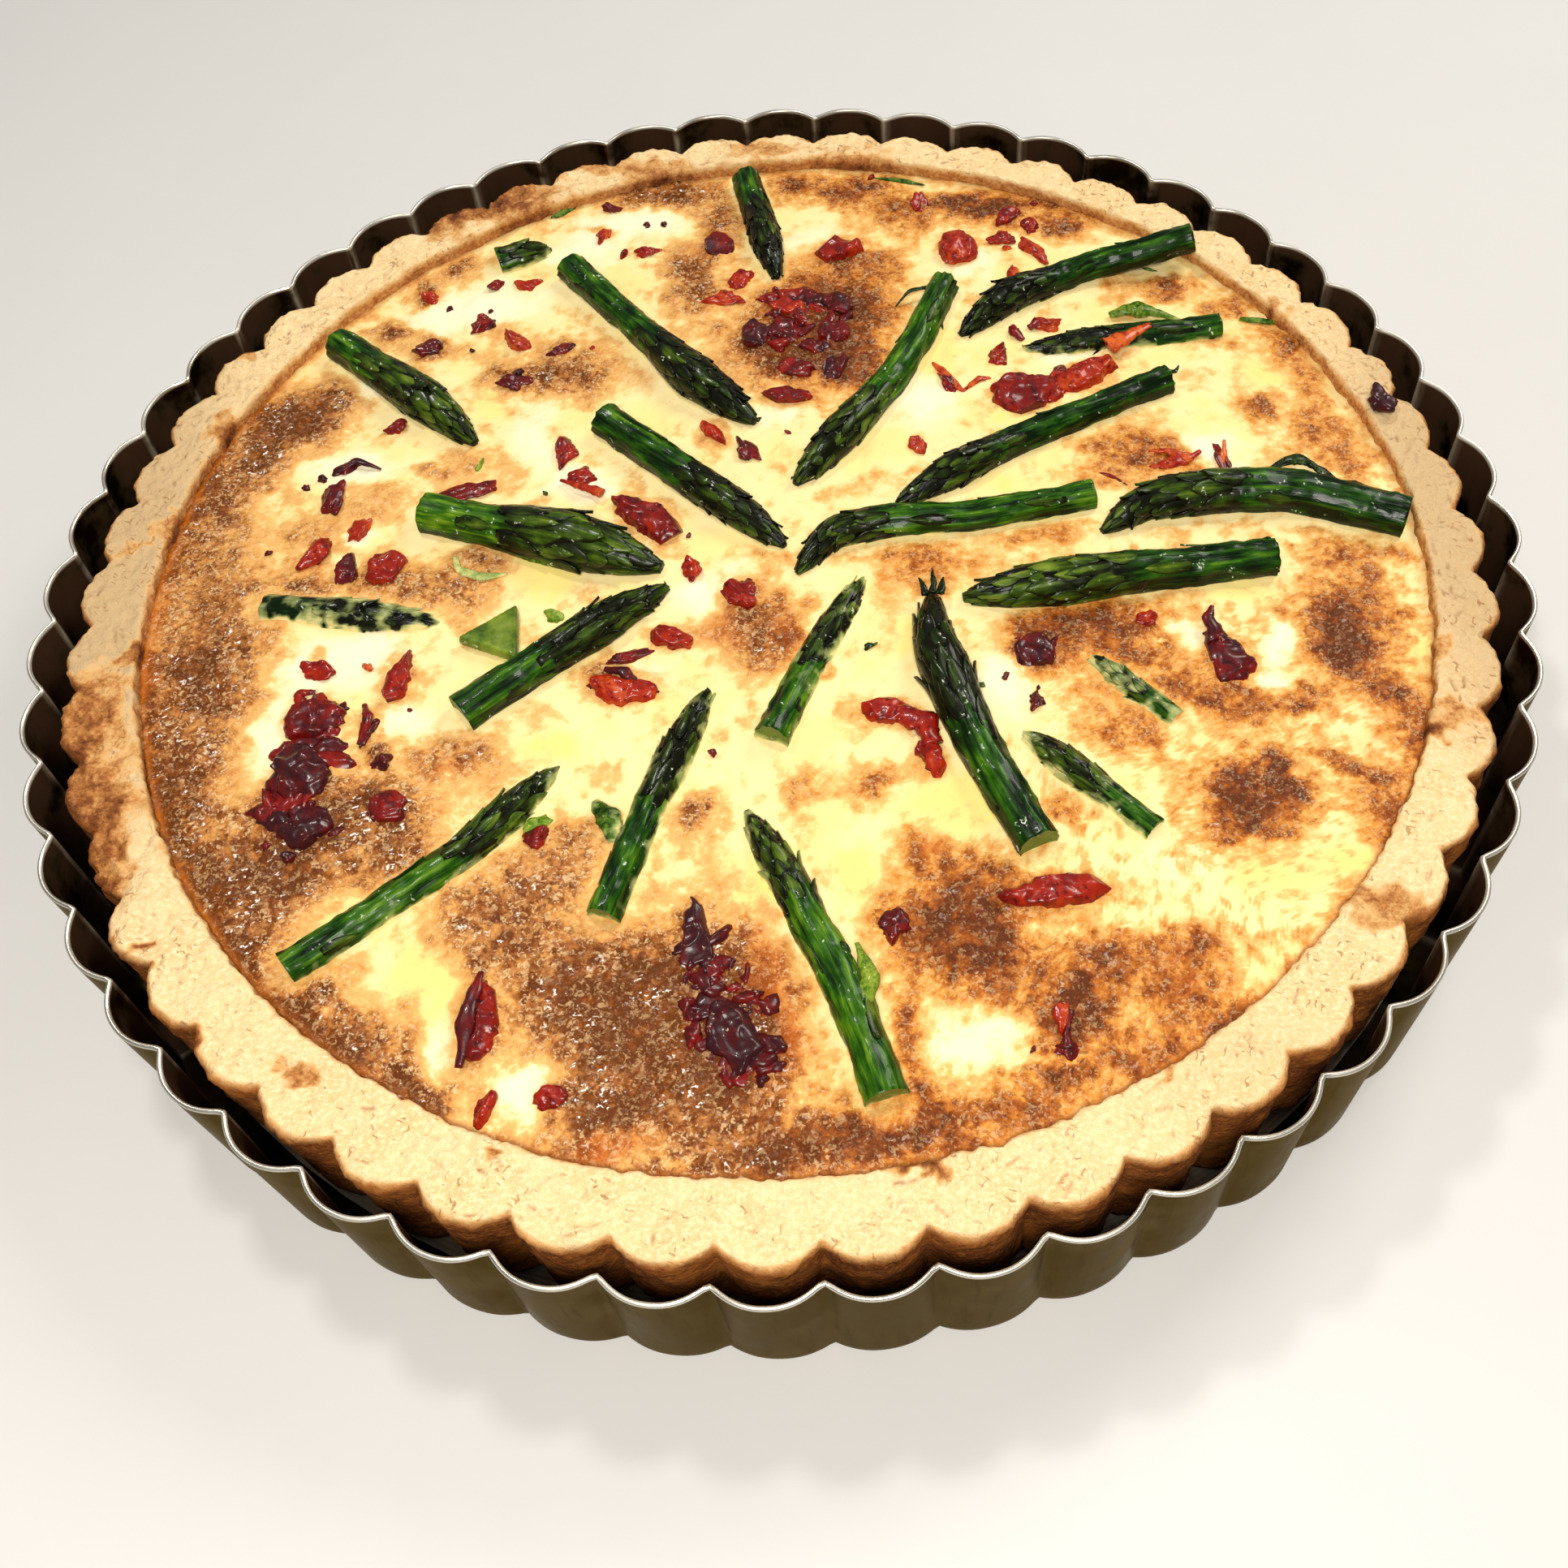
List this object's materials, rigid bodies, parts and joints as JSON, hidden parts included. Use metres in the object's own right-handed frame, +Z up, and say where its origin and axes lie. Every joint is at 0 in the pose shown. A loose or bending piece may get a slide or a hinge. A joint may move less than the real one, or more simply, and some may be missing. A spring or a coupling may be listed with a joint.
{
  "type": "asparagus tart in its tart tin",
  "caption": "Round open savoury tart with a fluted crust, egg filling, asparagus spears and bacon pieces, baked in a fluted loose-bottomed tin.",
  "frame": {"origin": "middle of the tin's underside, on the surface that it stands on", "axes": "+Z up, +X to the right and +Y away from the viewer as in the picture"},
  "size_m": [0.2788, 0.2788, 0.0364],
  "materials": {
    "tin": "aged tinned steel, satin with smudges",
    "crust": "baked shortcrust pastry, matt and crumbly",
    "filling": "baked egg and cheese, browned in patches, slightly oily",
    "asparagus": "roast green asparagus, slightly oily",
    "bacon": "fried bacon, glossy"
  },
  "bodies": {
    "root": {"asparagus_01": "asparagus", "asparagus_02": "asparagus", "asparagus_03": "asparagus", "asparagus_04": "asparagus", "asparagus_05": "asparagus", "asparagus_06": "asparagus", "asparagus_07": "asparagus", "asparagus_08": "asparagus", "asparagus_09": "asparagus", "asparagus_10": "asparagus", "asparagus_11": "asparagus", "asparagus_12": "asparagus", "asparagus_13": "asparagus", "asparagus_14": "asparagus", "asparagus_15": "asparagus", "asparagus_16": "asparagus", "asparagus_17": "asparagus", "asparagus_18": "asparagus", "asparagus_19": "asparagus", "asparagus_20": "asparagus", "asparagus_21": "asparagus", "asparagus_22": "asparagus", "asparagus_slice": "asparagus", "bacon_01": "bacon", "bacon_02": "bacon", "bacon_03": "bacon", "bacon_04": "bacon", "bacon_05": "bacon", "bacon_06": "bacon", "bacon_07": "bacon", "bacon_08": "bacon", "bacon_09": "bacon", "bacon_10": "bacon", "bacon_11": "bacon", "bacon_12": "bacon", "bacon_13": "bacon", "bacon_14": "bacon", "bacon_15": "bacon", "bacon_16": "bacon", "bacon_17": "bacon", "bacon_18": "bacon", "bacon_19": "bacon", "bacon_20": "bacon", "bacon_21": "bacon", "bacon_22": "bacon", "bacon_23": "bacon", "bacon_24": "bacon", "bacon_25": "bacon", "bacon_26": "bacon", "bacon_27": "bacon", "bacon_28": "bacon", "bacon_29": "bacon", "bacon_30": "bacon", "bacon_31": "bacon", "crust": "crust", "filling": "filling", "tart_tin": "tin", "tin_base": "tin"}
  },
  "joints": []
}
